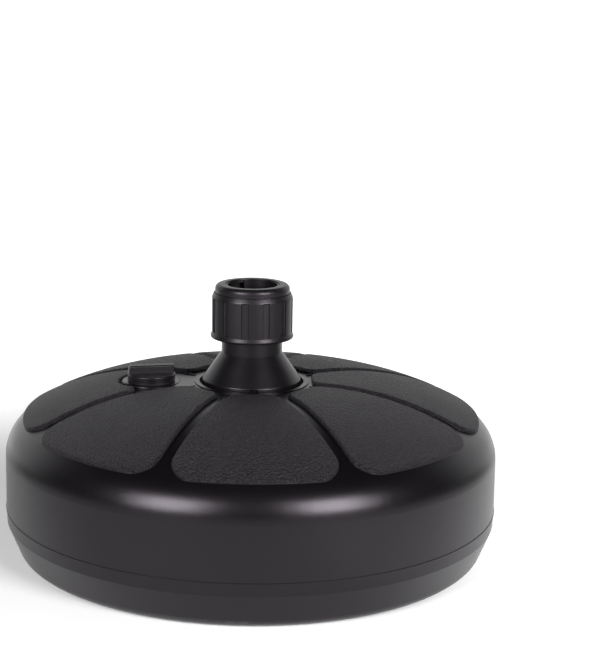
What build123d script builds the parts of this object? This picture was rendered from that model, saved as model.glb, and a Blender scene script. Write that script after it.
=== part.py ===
from build123d import *
import os
from math import cos, radians, sin, sqrt, tan

# Water-filled parasol base: a blow-moulded tank, a pole socket with a screw clamp, and a fill cap.
# Millimetres, +Z up, origin at the centre of the underside. The front pad faces -Y, the fill cap -X.

# ---- driving dimensions -------------------------------------------------------------------------
# tank outline, from the foot to the dome
wall = 3.0
foot_radius = 216.4
foot_rounding = 12.0
foot_land_inner = 176.0          # the underside is raised inside this radius
underside_rise = 4.0
taper_top = 32.3
taper_radius = 229.5
parting_height = 44.1
parting_radius = 230.0
flash_width = 0.5                # thin bead where the mould halves met
side_top_radius = 229.8
shoulder_rounding = 36.0         # runs from the side into the dome, tangent to both
flat_radius = 80.0               # the top is flat to here, then falls on one arc
flat_height = 158.1
dome_arc = 280.0

# raised pads on the dome
pad_count = 8
pad_turn = 1.2                   # degrees, the whole pattern is turned a little
pad_height = 3.8
pad_edge_rounding = 2.4
groove_width = 10.0
pad_inner = 62.0
pad_inner_side = 56.5            # the pad opposite the fill cap reaches further in
pad_inner_corner = 14.0
pad_outer = 213.5
pad_outer_corner = 21.0

# hub: seat for the pole socket
well_radius = 25.2
well_floor = 8.0
recess_radius = 49.0
recess_floor = 153.6
lip_outer = 53.4
lip_height = 0.9
lug_radius = 4.1
lug_face = 44.6                  # the lug's front, behind the skirt's outside
lug_length = 3.6
lug_turn = 3.0                   # degrees from the front
mark_start = 57.2
mark_length = 11.0
mark_width = 1.3
mark_height = 1.1

# fill opening
cap_distance = 94.0
boss_radius = 27.6
boss_top = 158.8
boss_moat = 2.6
boss_pad_start = 108.0           # where the pad beside the boss begins
boss_pad_corner = 4.0
fill_bore = 18.0
fill_neck_wall = 2.8
fill_neck_depth = 17.0
fill_pitch = 4.0
fill_thread_depth = 1.6
fill_thread_root = 1.9           # width of the ridge at its wall
fill_thread_crest = 0.9

# fill cap and gasket
gasket_thickness = 1.2
gasket_outer = 21.6
disc_radius = 22.3
disc_height = 6.2
knurl_count = 120
knurl_depth = 0.35
grip_length = 43.0
grip_width = 9.0
grip_height = 7.3
grip_corner = 2.0
grip_turn = 12.0                 # degrees, how the grip lies when the cap is tight
plug_radius = 15.9
plug_wall = 2.4
plug_length = 13.0

# pole socket
skirt_radius = 46.2
skirt_edge = 161.6
skirt_top = 187.3
skirt_wall = 3.0
neck_radius = 28.4
neck_top = 235.5
sleeve_bore = 20.5
sleeve_outer = 24.4
sleeve_bottom = 12.0
sleeve_floor = 3.0
seat_mouth = 26.0
seat_bottom = 212.0
seat_angle = 5.0                 # degrees
notch_radius = 4.8
notch_height = 156.8
rib_count = 6

# clamp nut
nut_bottom = 201.2
nut_top = 251.5
nut_top_rounding = 4.4
nut_opening = 25.1
nut_lip = 3.5
nut_bore = 31.2
nut_crown_radius = 34.8
nut_crown_bottom = 243.4
nut_band_radius = 36.3           # smooth band between the crown and the flutes
nut_grip_radius = 37.7
nut_flange_radius = 38.8
nut_flange_top = 206.0
nut_flange_edge = 203.4
flute_count = 12
flute_width = 6.8
flute_depth = 1.9
flute_top = 239.4
flute_turn = 20.0                # degrees from the front to one flute
nut_pitch = 5.0
nut_thread_depth = 2.2
nut_thread_root = 2.6            # width of the ridge at its wall
nut_thread_crest = 1.2
neck_thread_bottom = 207.0
neck_thread_top = 231.0
nut_thread_top = 227.0

# split clamp ring, carried by the nut
ring_bore = 21.2
ring_mouth = 23.3                # wider bore from the top down to ring_mouth_bottom
ring_mouth_bottom = 240.0
ring_collar = 24.7
ring_top = 250.5
ring_flange_radius = 28.4
ring_flange_top = 247.7
ring_flange_bottom = 244.9
ring_tail_radius = 25.4
ring_tail_bottom = 222.0
ring_gap = 40.0                  # degrees
ring_gap_turn = 39.5             # degrees from the back to the gap's middle, towards -X

cap_angle = -90.0 + pad_turn     # degrees from the front, towards +X
cap_x = cap_distance * sin(radians(cap_angle))
cap_y = -cap_distance * cos(radians(cap_angle))

# where the vertical side ends, so that the shoulder meets the dome without a crease
shoulder_centre = side_top_radius - shoulder_rounding
side_top = flat_height - dome_arc + sqrt(
    (dome_arc - shoulder_rounding)**2 - (shoulder_centre - flat_radius)**2)


# ---- helpers ------------------------------------------------------------------------------------
def lathe(points):
    """Solid of revolution about Z from an outline of (radius, height) points."""
    return revolve(make_face(Polyline(*[(r, 0, z) for r, z in points], close=True)), Axis.Z)


def tube(outer, inner, bottom, top):
    return lathe([(inner, bottom), (outer, bottom), (outer, top), (inner, top)])


def disc(radius, bottom, top):
    return Pos(0, 0, bottom) * extrude(Circle(radius), top - bottom)


def turned(shape, degrees):
    """Turn about Z, counted from the front (-Y) towards +X."""
    return Rot(0, 0, degrees) * shape


def dome_height(radius):
    """Height of the groove floor on the dome."""
    over = max(0.0, radius - flat_radius)
    return flat_height - dome_arc + sqrt(dome_arc**2 - over**2)


def thread(root, crest, pitch, bottom, top, root_width, crest_width, start=0.0):
    """Right-hand thread ridge between two radii, its flanks carried on a little into the wall."""
    sink = 0.5 if crest > root else -0.5
    helix = Helix(pitch=pitch, height=top - bottom, radius=root)
    half_crest = crest_width / 2
    flank = (root_width / 2 - half_crest) / (crest - root)
    half_base = root_width / 2 + flank * sink
    # on this plane x is outwards and y is downwards
    plane = Plane(origin=helix @ 0, x_dir=(1, 0, 0), z_dir=(0, 1, 0))
    outline = Polyline(
        (-sink, -half_base), (crest - root, -half_crest), (crest - root, half_crest),
        (-sink, half_base), close=True)
    ridge = sweep(plane * make_face(outline), path=helix, is_frenet=True)
    return Pos(0, 0, bottom) * Rot(0, 0, start) * ridge


# ---- tank ---------------------------------------------------------------------------------------
def tank_outline(inset=0.0):
    """Half section of the tank's outside without its pads, pulled in by inset."""
    foot = Vector(foot_radius, 0, 0)
    centre = Vector(shoulder_centre, 0, side_top)
    to_dome = (centre - Vector(flat_radius, 0, flat_height - dome_arc)).normalized()
    side_end = Vector(side_top_radius, 0, side_top)
    dome_start = centre + to_dome * shoulder_rounding
    shoulder_middle = centre + (to_dome + Vector(1, 0, 0)).normalized() * shoulder_rounding
    arc_middle = (flat_radius + dome_start.X) / 2
    side = FilletPolyline(
        (foot_land_inner + 10, 0, 0), foot, (taper_radius, 0, taper_top), radius=foot_rounding)
    rise = Polyline(
        (0, 0, underside_rise), (foot_land_inner, 0, underside_rise), (foot_land_inner + 10, 0, 0))
    band = Line((taper_radius, 0, taper_top), (parting_radius, 0, parting_height))
    wall_line = Line((parting_radius, 0, parting_height), side_end)
    shoulder = ThreePointArc(side_end, shoulder_middle, dome_start)
    dome = ThreePointArc(
        dome_start, (arc_middle, 0, dome_height(arc_middle)), (flat_radius, 0, flat_height))
    top = Polyline((flat_radius, 0, flat_height), (0, 0, flat_height), (0, 0, underside_rise))
    face = make_face([rise, side, band, wall_line, shoulder, dome, top])
    return offset(face, amount=-inset) if inset else face


def pad_outline(inner, beside_boss):
    """One pad in plan, pointing along +X; the pad beside the fill cap stops short of its boss."""
    half = radians(180 / pad_count)

    def half_width(x):
        return x * tan(half) - groove_width / 2 / cos(half)

    outer, beyond = pad_outer, pad_outer + 5
    wedge = make_face(Polyline(
        (inner, -half_width(inner)), (beyond, -half_width(beyond)),
        (beyond, half_width(beyond)), (inner, half_width(inner)), close=True)) & Circle(outer)
    if beside_boss:
        wedge -= Pos(cap_distance, 0) * Circle(boss_radius + boss_moat)
        wedge -= Rectangle(2 * boss_pad_start, 200)
        tips = wedge.vertices().sort_by(Axis.X)[:4]
        wedge = fillet(tips, boss_pad_corner)
    else:
        wedge = fillet(wedge.vertices().sort_by(Axis.X)[:2], pad_inner_corner)
    corners = [v for v in wedge.vertices() if abs(sqrt(v.X**2 + v.Y**2) - outer) < 0.1]
    return fillet(corners, pad_outer_corner)


def pad_layer():
    """Skin over the dome that the pads are cut from."""
    sink = 1.0
    arc_middle = (flat_radius + pad_outer) / 2
    beyond = pad_outer + 0.5

    def rail(lift):
        return [
            Line((pad_inner - 20, 0, flat_height + lift), (flat_radius, 0, flat_height + lift)),
            ThreePointArc(
                (flat_radius, 0, flat_height + lift), (arc_middle, 0, dome_height(arc_middle) + lift),
                (beyond, 0, dome_height(beyond) + lift))]

    low, high = rail(-sink), rail(pad_height)
    ends = [Line(low[0] @ 0, high[0] @ 0), Line(low[1] @ 1, high[1] @ 1)]
    return revolve(make_face(low + high + ends), Axis.Z)


def pad(inner=pad_inner, beside_boss=False):
    """One pad with a rounded top edge, pointing along +X."""
    block = Pos(0, 0, 100) * extrude(pad_outline(inner, beside_boss), 80) & pad_layer()
    rim = [e for e in block.edges() if is_top_rim(e)]
    return fillet(rim, pad_edge_rounding)


def is_top_rim(edge):
    """True for an edge on a pad's top surface that runs round the pad's outline."""
    ends = [edge @ 0.02, edge @ 0.5, edge @ 0.98]
    lifts = [p.Z - dome_height(sqrt(p.X**2 + p.Y**2)) for p in ends]
    across = abs(sqrt(ends[1].X**2 + ends[1].Y**2) - flat_radius) < 0.01
    return min(lifts) > pad_height - 0.1 and not across


def tank():
    body = revolve(tank_outline(), Axis.Z)
    body += Pos(0, 0, parting_height) * lathe(
        [(parting_radius - 1, -0.5), (parting_radius + flash_width, -0.15),
         (parting_radius + flash_width, 0.15), (parting_radius - 1, 0.5)])
    pads = [pad()] * pad_count
    pads[pad_count // 4] = pad(inner=pad_inner_side)
    pads[pad_count * 3 // 4] = pad(beside_boss=True)
    for i in range(pad_count):
        body += Rot(0, 0, i * 360 / pad_count + pad_turn - 90) * pads[i]
    body += fillet(disc(boss_radius, 140, boss_top).moved(Location((cap_x, cap_y, 0)))
                   .edges().group_by(Axis.Z)[-1], 1.4)
    body += tube(lip_outer, recess_radius, flat_height - 2, flat_height + lip_height)
    for i in range(pad_count):
        mark = Pos(0, -(mark_start + mark_length / 2), flat_height) * Box(
            mark_width, mark_length, 2 * mark_height)
        body += turned(mark, (i + 0.5) * 360 / pad_count + pad_turn)

    hollow = revolve(tank_outline(wall), Axis.Z)
    hollow -= disc(well_radius + wall, 0, 200)
    hollow -= disc(recess_radius + wall, recess_floor - wall, 200)
    at_cap = Pos(cap_x, cap_y, 0)
    neck_outer = fill_bore + fill_neck_wall
    hollow -= at_cap * disc(neck_outer, boss_top - fill_neck_depth, 200)
    body -= hollow
    body -= at_cap * tube(boss_radius - wall, neck_outer, boss_top - 12, boss_top - 3.6)
    body -= at_cap * disc(fill_bore, boss_top - fill_neck_depth - 1, 200)
    body -= disc(recess_radius, recess_floor, 200)
    body -= disc(well_radius, well_floor, 200)
    lug_middle = lug_face - lug_length / 2
    lug = Pos(0, -lug_middle, notch_height) * Rot(90, 0, 0) * extrude(
        Circle(lug_radius), lug_length / 2, both=True)
    lug += Pos(0, -lug_middle, (recess_floor + notch_height) / 2) * Box(
        2 * lug_radius, lug_length, notch_height - recess_floor + 0.2)
    body += turned(lug, lug_turn)
    body += at_cap * thread(
        fill_bore, fill_bore - fill_thread_depth, fill_pitch, boss_top - 11, boss_top - 3,
        fill_thread_root, fill_thread_crest)
    return body


# ---- fill cap -----------------------------------------------------------------------------------
disc_bottom = boss_top + gasket_thickness


def cap_gasket():
    ring = tube(gasket_outer, plug_radius + 0.6, boss_top, disc_bottom)
    return Pos(cap_x, cap_y, 0) * ring


def fill_cap():
    top = disc_bottom + disc_height
    body = disc(disc_radius, disc_bottom, top)
    body = fillet(body.edges().group_by(Axis.Z)[-1], 1.2)
    knurl = Box(
        2 * knurl_depth, 2 * knurl_depth, disc_height - 2.2,
        align=(Align.CENTER, Align.CENTER, Align.MIN))
    knurl = Pos(disc_radius + knurl_depth, 0, disc_bottom + 0.6) * Rot(0, 0, 45) * knurl
    body -= [Rot(0, 0, i * 360 / knurl_count) * knurl for i in range(knurl_count)]
    outline = RectangleRounded(grip_length, grip_width, grip_corner)
    grip = extrude(outline, grip_height + 1, taper=3)
    grip = fillet(grip.edges().group_by(Axis.Z)[-1], 1.4)
    body += Pos(0, 0, top - 1) * Rot(0, 0, grip_turn) * grip
    plug = tube(plug_radius, plug_radius - plug_wall, disc_bottom - plug_length, disc_bottom + 0.5)
    body += plug
    body += thread(
        plug_radius, plug_radius + fill_thread_depth, fill_pitch, disc_bottom - 12.2,
        disc_bottom - 3.2, fill_thread_root, fill_thread_crest, start=180)
    return Pos(cap_x, cap_y, 0) * body


# ---- pole socket --------------------------------------------------------------------------------
def pole_socket():
    tan_seat = tan(radians(seat_angle))
    seat_low = seat_mouth - (neck_top - seat_bottom) * tan_seat
    rim = recess_floor + 0.2
    slope = (skirt_radius - neck_radius) / (skirt_top - skirt_edge)
    body = lathe([
        (0, sleeve_bottom), (sleeve_outer, sleeve_bottom), (sleeve_outer, skirt_top - 4),
        (neck_radius - skirt_wall + 1.0, skirt_top - 4),
        (skirt_radius - skirt_wall, skirt_edge - skirt_wall / 2), (skirt_radius - skirt_wall, rim),
        (skirt_radius, rim), (skirt_radius, skirt_edge), (neck_radius, skirt_top),
        (neck_radius, neck_top), (0, neck_top)])
    bore = lathe([
        (0, sleeve_bottom + sleeve_floor), (sleeve_bore, sleeve_bottom + sleeve_floor),
        (sleeve_bore, seat_bottom - 6), (seat_low, seat_bottom), (seat_mouth, neck_top + 0.01),
        (0, neck_top + 0.01)])
    body -= bore
    inside = lathe([
        (sleeve_outer - 0.5, skirt_top - 6), (neck_radius - skirt_wall + 2, skirt_top - 5),
        (skirt_radius - skirt_wall + 0.5, skirt_edge - 1), (skirt_radius - skirt_wall + 0.5, rim + 2),
        (sleeve_outer - 0.5, rim + 2)])
    for i in range(rib_count):
        rib = Rot(0, 0, (i + 0.5) * 360 / rib_count) * Pos(35, 0, 170) * Box(40, 2.2, 60)
        body += rib & inside
    edge = body.edges().filter_by(GeomType.CIRCLE).filter_by(
        lambda e: abs(e.radius - skirt_radius) < 0.01 and abs(e.center().Z - skirt_edge) < 0.01)
    body = fillet(edge, 1.0)
    notch = Pos(0, -skirt_radius, notch_height) * Rot(90, 0, 0) * extrude(
        Circle(notch_radius), 5.5, both=True)
    notch += Pos(0, -skirt_radius, rim) * Box(2 * notch_radius, 11, 2 * (notch_height - rim))
    body -= turned(notch, lug_turn)
    body += thread(
        neck_radius, neck_radius + nut_thread_depth, nut_pitch, neck_thread_bottom,
        neck_thread_top, nut_thread_root, nut_thread_crest)
    return body


# ---- clamp --------------------------------------------------------------------------------------
def clamp_ring():
    tan_seat = tan(radians(seat_angle))
    tail_low = ring_tail_radius - (ring_flange_bottom - ring_tail_bottom) * tan_seat
    mouth_slope = ring_mouth - ring_bore
    body = lathe([
        (ring_bore, ring_mouth_bottom - mouth_slope),
        (ring_bore, ring_tail_bottom), (tail_low, ring_tail_bottom),
        (ring_tail_radius, ring_flange_bottom), (ring_flange_radius, ring_flange_bottom),
        (ring_flange_radius, ring_flange_top), (ring_collar, ring_flange_top),
        (ring_collar, ring_top), (ring_mouth, ring_top), (ring_mouth, ring_mouth_bottom)])
    half = radians(ring_gap / 2)
    reach = 60.0
    gap = extrude(make_face(Polyline(
        (0, 0), (reach * sin(half), reach * cos(half)), (-reach * sin(half), reach * cos(half)),
        close=True)), 300)
    return body - Rot(0, 0, ring_gap_turn) * gap


def clamp_nut():
    body = lathe([
        (nut_bore, nut_bottom), (nut_flange_radius, nut_bottom), (nut_flange_radius, nut_flange_edge),
        (nut_grip_radius, nut_flange_top), (nut_grip_radius, flute_top),
        (nut_band_radius, nut_crown_bottom - 0.9), (nut_band_radius, nut_crown_bottom - 0.1),
        (nut_crown_radius, nut_crown_bottom), (nut_crown_radius, nut_top),
        (nut_opening, nut_top), (nut_opening, nut_top - nut_lip), (nut_bore - 1.5, nut_top - nut_lip),
        (nut_bore, nut_top - nut_lip - 1.5)])

    def rim(radius, height):
        return body.edges().filter_by(GeomType.CIRCLE).filter_by(
            lambda e: abs(e.radius - radius) < 0.01 and abs(e.center().Z - height) < 0.01)

    body = fillet(rim(nut_crown_radius, nut_top), nut_top_rounding)
    body = fillet(rim(nut_opening, nut_top), 0.8)
    body = fillet(rim(nut_flange_radius, nut_bottom), 1.6)
    body = fillet(rim(nut_flange_radius, nut_flange_edge), 1.2)
    body = fillet(rim(nut_grip_radius, flute_top), 4.0)
    body = fillet(rim(nut_band_radius, nut_crown_bottom - 0.1), 0.4)
    length = flute_top - nut_flange_top + 10
    cutter = Box(8, flute_width, length, align=(Align.MIN, Align.CENTER, Align.MAX))
    cutter = fillet(cutter.edges().filter_by(Axis.Z).group_by(Axis.X)[0], 1.3)
    cutter = fillet([e for e in cutter.edges() if (e @ 0.5).Z > -0.1 and (e @ 0.5).X < 7], 1.2)
    cutter &= Box(20, 20, 2 * (flute_top - nut_flange_top - 0.8))
    floor = nut_grip_radius - flute_depth
    for i in range(flute_count):
        angle = i * 360 / flute_count + flute_turn - 90
        body -= Rot(0, 0, angle) * Pos(floor, 0, flute_top) * cutter
    body += thread(
        nut_bore, nut_bore - nut_thread_depth, nut_pitch, neck_thread_bottom + nut_pitch,
        nut_thread_top, nut_thread_root, nut_thread_crest, start=180)
    return body


parts = {
    "tank": tank,
    "fill_cap": fill_cap,
    "cap_gasket": cap_gasket,
    "pole_socket": pole_socket,
    "clamp_ring": clamp_ring,
    "clamp_nut": clamp_nut,
}

os.makedirs("parts", exist_ok=True)
for name, make in parts.items():
    export_step(make(), f"parts/{name}.step")
    print(name, "written")
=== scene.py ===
"""Studio scene for the parasol base: materials on the CAD pieces, floor, lights and camera."""
import math

import bpy
from mathutils import Matrix, Vector


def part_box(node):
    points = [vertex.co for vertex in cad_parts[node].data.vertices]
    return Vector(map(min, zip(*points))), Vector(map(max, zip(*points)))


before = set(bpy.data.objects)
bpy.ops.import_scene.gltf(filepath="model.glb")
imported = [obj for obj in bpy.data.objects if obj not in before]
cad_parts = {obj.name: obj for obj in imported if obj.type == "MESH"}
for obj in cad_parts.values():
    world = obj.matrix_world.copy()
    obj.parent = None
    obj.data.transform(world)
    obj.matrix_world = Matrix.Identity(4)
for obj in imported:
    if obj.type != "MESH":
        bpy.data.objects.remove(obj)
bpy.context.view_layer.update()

# ---- sizes shared with the model, metres --------------------------------------------------------
FLAT_RADIUS = 0.080      # the dome is flat to here
FLAT_HEIGHT = 0.1581
DOME_ARC = 0.280
PAD_OUTER = 0.2135
PAD_INNER = 0.0565
BOSS_CLEAR = 0.0285      # the grain stops this far from the fill cap's axis
PAD_EDGE = 0.001         # width over which the grain fades in plan
PAD_WALL_LOW = 0.0006    # the grain starts this far above the groove floor
PAD_WALL_HIGH = 0.0013   # and is full here

# ---- plastic ------------------------------------------------------------------------------------
SHEEN_LEVEL = 0.36
SHEEN_TINT = (0.98, 0.89, 1.0, 1.0)      # slight purple cast of the whole picture
SHELL_DARK, SHELL_LIGHT, SHELL_PURPLE = 0.0020, 0.0030, 0.08
# leather colour on the raised grain tops and in the valleys between cells; the darker valley value
# is painted shade
LEATHER_GRAIN_TOP, LEATHER_VALLEY_SHADE, LEATHER_PURPLE = 0.012, 0.003, 0.06
SHELL_ROUGH = (0.27, 0.31)
LEATHER_ROUGH = (0.46, 0.54)
GRAIN_CELLS = 560        # cells a metre in each direction
GRAIN_PITS = 1100
PIT_SHARE = 0.5          # height of the pits against the cells
GRAIN_WOBBLE = 0.0022    # how far the cells are pushed out of shape
GRAIN_DEPTH = 0.0032
SKIN_SHARE = 0.02        # fine skin on the smooth shell

# ---- floor --------------------------------------------------------------------------------------
FLOOR_REACH = 60.0
NEAR_PAINTED_LIGHT = 0.08         # painted light: emission close round the object, on its left, kept weak so the shadow there shows
RIGHT_PAINTED_LIGHT = 0.55        # and on its right: painted light strong enough that no shadow shows there
RIGHT_START, RIGHT_FULL = 0.10, 0.26
NEAR_FULL, NEAR_END = 0.40, 0.75
FAR_START, FAR_FULL = 0.25, 0.90
GLOW_SIDE = 0.35         # further out it glows only behind: sine above the sideways line, start
GLOW_BACK = 0.85         # and where it is full
FRONT_FLOOR = 0.45       # albedo of the floor that the camera doesn't see

# ---- camera -------------------------------------------------------------------------------------
CAMERA_DISTANCE = 1.5268
CAMERA_HEIGHT = 0.5393
CAMERA_TILT = math.radians(12.01)
CAMERA_ROLL = math.radians(0.629)
CAMERA_LENS = 93.38
CAMERA_SHIFT = 0.0773    # sets the object left of the frame's middle

# ---- lights -------------------------------------------------------------------------------------
LIGHT_TARGET = 0.12      # height that the softboxes face
SOFTBOXES = (            # name, azimuth, elevation, distance, width, height, power
    ("softbox_left", -36, 22, 2.2, 0.95, 1.05, 50),
    ("softbox_right", 37, 22, 2.2, 0.95, 1.05, 57),
)
SURROUND_DIM, SURROUND_WHITE = 0.02, 1.0


# ---- node helpers -------------------------------------------------------------------------------
class Nodes:
    """Small wrapper that adds and links shader nodes."""

    def __init__(self, tree):
        self.tree = tree

    def add(self, kind, **settings):
        node = self.tree.nodes.new(kind)
        for key, value in settings.items():
            setattr(node, key, value)
        return node

    def put(self, socket, value):
        if isinstance(value, bpy.types.NodeSocket):
            self.tree.links.new(value, socket)
        else:
            socket.default_value = value

    def math(self, operation, a, b=0.0):
        node = self.add("ShaderNodeMath", operation=operation)
        self.put(node.inputs[0], a)
        self.put(node.inputs[1], b)
        return node.outputs[0]

    def hypot(self, a, b):
        squares = self.math("ADD", self.math("MULTIPLY", a, a), self.math("MULTIPLY", b, b))
        return self.math("SQRT", squares)

    def parts(self, vector):
        """The three numbers of a vector."""
        node = self.add("ShaderNodeSeparateXYZ")
        self.put(node.inputs[0], vector)
        return node.outputs

    def step(self, value, low, high):
        """Smooth step from 0 at low to 1 at high."""
        node = self.add("ShaderNodeMapRange", interpolation_type="SMOOTHSTEP")
        self.put(node.inputs["Value"], value)
        self.put(node.inputs["From Min"], low)
        self.put(node.inputs["From Max"], high)
        return node.outputs[0]

    def span(self, value, low, high):
        """Map 0..1 onto low..high."""
        node = self.add("ShaderNodeMapRange")
        self.put(node.inputs["Value"], value)
        self.put(node.inputs["To Min"], low)
        self.put(node.inputs["To Max"], high)
        return node.outputs[0]

    def noise(self, vector, scale, detail=2.0, roughness=0.5):
        node = self.add("ShaderNodeTexNoise")
        self.put(node.inputs["Vector"], vector)
        node.inputs["Scale"].default_value = scale
        node.inputs["Detail"].default_value = detail
        node.inputs["Roughness"].default_value = roughness
        return node

    def cells(self, vector, scale):
        """Distance to the nearest cell centre, with rounded valleys."""
        node = self.add("ShaderNodeTexVoronoi", feature="SMOOTH_F1")
        self.put(node.inputs["Vector"], vector)
        node.inputs["Scale"].default_value = scale
        return node.outputs["Distance"]

    def mix(self, factor, a, b):
        node = self.add("ShaderNodeMix", data_type="RGBA")
        self.put(node.inputs[0], factor)
        self.put(node.inputs[6], a)
        self.put(node.inputs[7], b)
        return node.outputs[2]

    def blend(self, factor, a, b):
        node = self.add("ShaderNodeMix", data_type="FLOAT")
        self.put(node.inputs[0], factor)
        self.put(node.inputs[2], a)
        self.put(node.inputs[3], b)
        return node.outputs[0]

    def bump(self, height, strength, distance):
        node = self.add("ShaderNodeBump")
        self.put(node.inputs["Height"], height)
        node.inputs["Strength"].default_value = strength
        node.inputs["Distance"].default_value = distance
        return node.outputs[0]


def new_material(name):
    material = bpy.data.materials.new(name)
    material.use_nodes = True
    tree = material.node_tree
    shader = tree.nodes["Principled BSDF"]
    nodes = Nodes(tree)
    place = nodes.add("ShaderNodeTexCoord").outputs["Object"]
    return material, nodes, shader, place


def grey(level, purple=0.0):
    return (level * (1 + purple), level * (1 - purple), level * (1 + purple), 1.0)


def set_sheen(shader):
    shader.inputs["Specular IOR Level"].default_value = SHEEN_LEVEL
    shader.inputs["Specular Tint"].default_value = SHEEN_TINT


# ---- materials ----------------------------------------------------------------------------------
def moulded_plastic(name, level, rough):
    """Satin moulded plastic: faint colour drift, uneven gloss and a fine skin."""
    purple, skin_depth = 0.06, 0.00004
    material, n, shader, place = new_material(name)
    drift = n.noise(place, 25, 3).outputs["Fac"]
    dark, light = grey(level * 0.85, purple), grey(level * 1.15, purple)
    n.put(shader.inputs["Base Color"], n.mix(drift, dark, light))
    patches = n.noise(place, 60, 4, 0.6).outputs["Fac"]
    n.put(shader.inputs["Roughness"], n.span(patches, rough - 0.05, rough + 0.06))
    skin = n.noise(place, 1800, 2).outputs["Fac"]
    n.put(shader.inputs["Normal"], n.bump(skin, 0.5, skin_depth))
    set_sheen(shader)
    return material


def pad_mask(n, place):
    """1 on the raised pads, 0 in the grooves, on the shell and round the fill cap."""
    x, y, z = n.parts(place)
    radius = n.hypot(x, y)
    over = n.math("MAXIMUM", n.math("SUBTRACT", radius, FLAT_RADIUS), 0.0)
    fall = n.math("SQRT", n.math("SUBTRACT", DOME_ARC**2, n.math("MULTIPLY", over, over)))
    lift = n.math("SUBTRACT", z, n.math("ADD", fall, FLAT_HEIGHT - DOME_ARC))
    cap_low, cap_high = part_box("fill_cap")
    cap_x, cap_y = (cap_low[0] + cap_high[0]) / 2, (cap_low[1] + cap_high[1]) / 2
    from_cap = n.hypot(n.math("SUBTRACT", x, cap_x), n.math("SUBTRACT", y, cap_y))
    mask = n.step(lift, PAD_WALL_LOW, PAD_WALL_HIGH)
    for edge in (n.step(radius, PAD_INNER - PAD_EDGE, PAD_INNER),
                 n.step(radius, PAD_OUTER + 2 * PAD_EDGE, PAD_OUTER + PAD_EDGE),
                 n.step(from_cap, BOSS_CLEAR, BOSS_CLEAR + PAD_EDGE)):
        mask = n.math("MULTIPLY", mask, edge)
    return mask


def tank_plastic():
    """Smooth satin shell with a leather grain on the raised pads, whose valleys are darkened with
    painted shade.
    """
    material, n, shader, place = new_material("tank_plastic")
    on_pad = pad_mask(n, place)

    warped = n.add("ShaderNodeVectorMath", operation="MULTIPLY_ADD")
    n.put(warped.inputs[0], n.noise(place, 260, 2).outputs["Color"])
    warped.inputs[1].default_value = (GRAIN_WOBBLE, GRAIN_WOBBLE, GRAIN_WOBBLE)
    n.put(warped.inputs[2], place)
    cells = n.cells(warped.outputs[0], GRAIN_CELLS)
    pits = n.noise(place, GRAIN_PITS, 3, 0.7).outputs["Fac"]
    grain = n.math("ADD", n.math("MULTIPLY", cells, -1.0), n.math("MULTIPLY", pits, PIT_SHARE))
    grain = n.math("MULTIPLY", grain, on_pad)
    skin = n.math("MULTIPLY", n.noise(place, 1500, 2).outputs["Fac"], SKIN_SHARE)
    n.put(shader.inputs["Normal"], n.bump(n.math("ADD", grain, skin), 1.0, GRAIN_DEPTH))

    drift = n.noise(place, 12, 4).outputs["Fac"]
    shell = n.mix(drift, grey(SHELL_DARK, SHELL_PURPLE), grey(SHELL_LIGHT, SHELL_PURPLE))
    # pad colour is lighter on the grain's cell tops and darker between the cells: painted shade in
    # the grain valleys
    leather = n.mix(cells, grey(LEATHER_GRAIN_TOP, LEATHER_PURPLE), grey(LEATHER_VALLEY_SHADE, LEATHER_PURPLE))
    n.put(shader.inputs["Base Color"], n.mix(on_pad, shell, leather))
    patches = n.noise(place, 45, 4, 0.6).outputs["Fac"]
    gloss = n.blend(on_pad, n.span(patches, *SHELL_ROUGH), n.span(patches, *LEATHER_ROUGH))
    n.put(shader.inputs["Roughness"], gloss)
    set_sheen(shader)
    return material


def floor_paint_and_glow():
    """Pale table: shadow left of the object; painted light glows close on its right, and the floor
    glows further out behind it.
    """
    material, n, shader, place = new_material("floor_paint_and_glow")
    shader.inputs["Roughness"].default_value = 0.9
    shader.inputs["Specular IOR Level"].default_value = 0.1
    shader.inputs["Emission Color"].default_value = (1, 1, 1, 1)
    length = n.add("ShaderNodeVectorMath", operation="LENGTH")
    n.put(length.inputs[0], place)
    reach = length.outputs["Value"]
    x, y, _ = n.parts(place)
    behind = n.step(n.math("DIVIDE", y, reach), GLOW_SIDE, GLOW_BACK)
    near = n.step(reach, NEAR_END, NEAR_FULL)
    right = n.step(x, RIGHT_START, RIGHT_FULL)
    # painted light: emission close round the object, weak on its left and strong on its right
    painted_light_near = n.math("MULTIPLY", near, n.span(right, NEAR_PAINTED_LIGHT, RIGHT_PAINTED_LIGHT))
    far_glow = n.math("MULTIPLY", n.step(reach, FAR_START, FAR_FULL), behind)
    n.put(shader.inputs["Emission Strength"], n.math("ADD", painted_light_near, far_glow))
    specks = n.noise(place, 300, 2).outputs["Fac"]
    pale = n.mix(specks, (0.86, 0.86, 0.865, 1), (0.88, 0.88, 0.885, 1))
    seen = n.math("MAXIMUM", near, behind)
    n.put(shader.inputs["Base Color"], n.mix(seen, grey(FRONT_FLOOR), pale))
    return material


# ---- stage --------------------------------------------------------------------------------------
def add_floor():
    mesh = bpy.data.meshes.new("floor")
    far = FLOOR_REACH
    corners = [(-far, -far, 0), (far, -far, 0), (far, far, 0), (-far, far, 0)]
    mesh.from_pydata(corners, [], [(0, 1, 2, 3)])
    floor = bpy.data.objects.new("floor", mesh)
    bpy.context.scene.collection.objects.link(floor)
    mesh.materials.append(floor_paint_and_glow())


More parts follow.
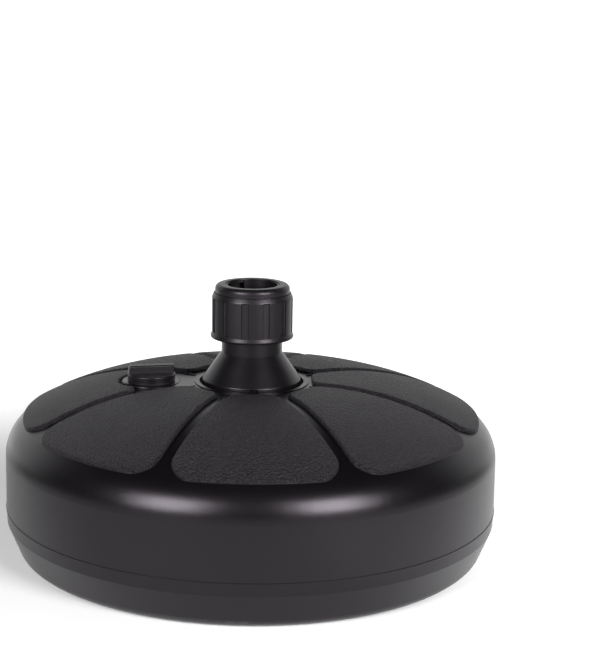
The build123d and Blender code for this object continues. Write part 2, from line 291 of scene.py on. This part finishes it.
def add_softbox(name, azimuth, elevation, distance, width, height, power):
    """Area light aimed at the hub; azimuth in degrees from the front, positive to the right."""
    light = bpy.data.lights.new(name, "AREA")
    light.shape = "RECTANGLE"
    light.size, light.size_y = width, height
    light.energy = power
    lamp = bpy.data.objects.new(name, light)
    az, el = math.radians(azimuth), math.radians(elevation)
    way = Vector((math.sin(az) * math.cos(el), -math.cos(az) * math.cos(el), math.sin(el)))
    lamp.location = way * distance + Vector((0, 0, LIGHT_TARGET))
    lamp.rotation_euler = way.to_track_quat("Z", "Y").to_euler()
    bpy.context.scene.collection.objects.link(lamp)


def set_world():
    """White surround low down behind, almost dark in front, at the sides and overhead."""
    world = bpy.data.worlds.new("studio")
    world.use_nodes = True
    bpy.context.scene.world = world
    n = Nodes(world.node_tree)
    background = world.node_tree.nodes["Background"]
    _, y, z = n.parts(n.add("ShaderNodeTexCoord").outputs["Generated"])
    white = n.math("MULTIPLY", n.step(y, 0.15, 0.65), n.step(z, 0.70, 0.35))
    surround = n.mix(white, grey(SURROUND_DIM), grey(SURROUND_WHITE))
    n.put(background.inputs["Color"], surround)
    background.inputs["Strength"].default_value = 1.0


def add_camera():
    """Camera in front of the object, looking down a little."""
    data = bpy.data.cameras.new("camera")
    data.sensor_width = 36.0
    data.lens = CAMERA_LENS
    data.shift_x = CAMERA_SHIFT
    data.clip_end = 200
    camera = bpy.data.objects.new("camera", data)
    camera.matrix_world = (Matrix.Translation((0, -CAMERA_DISTANCE, CAMERA_HEIGHT))
                           @ Matrix.Rotation(math.pi / 2 - CAMERA_TILT, 4, "X")
                           @ Matrix.Rotation(CAMERA_ROLL, 4, "Z"))
    bpy.context.scene.collection.objects.link(camera)
    bpy.context.scene.camera = camera


add_camera()
set_world()
add_floor()
for softbox in SOFTBOXES:
    add_softbox(*softbox)
bpy.context.scene.view_settings.view_transform = "Standard"

finishes = {
    "tank": tank_plastic(),
    "fill_cap": moulded_plastic("cap_plastic", 0.003, 0.36),
    "cap_gasket": moulded_plastic("gasket_rubber", 0.006, 0.6),
    "pole_socket": moulded_plastic("socket_plastic", 0.003, 0.32),
    "clamp_ring": moulded_plastic("ring_plastic", 0.004, 0.32),
    "clamp_nut": moulded_plastic("nut_plastic", 0.005, 0.36),
}
for name, material in finishes.items():
    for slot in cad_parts[name].material_slots:
        slot.material = material
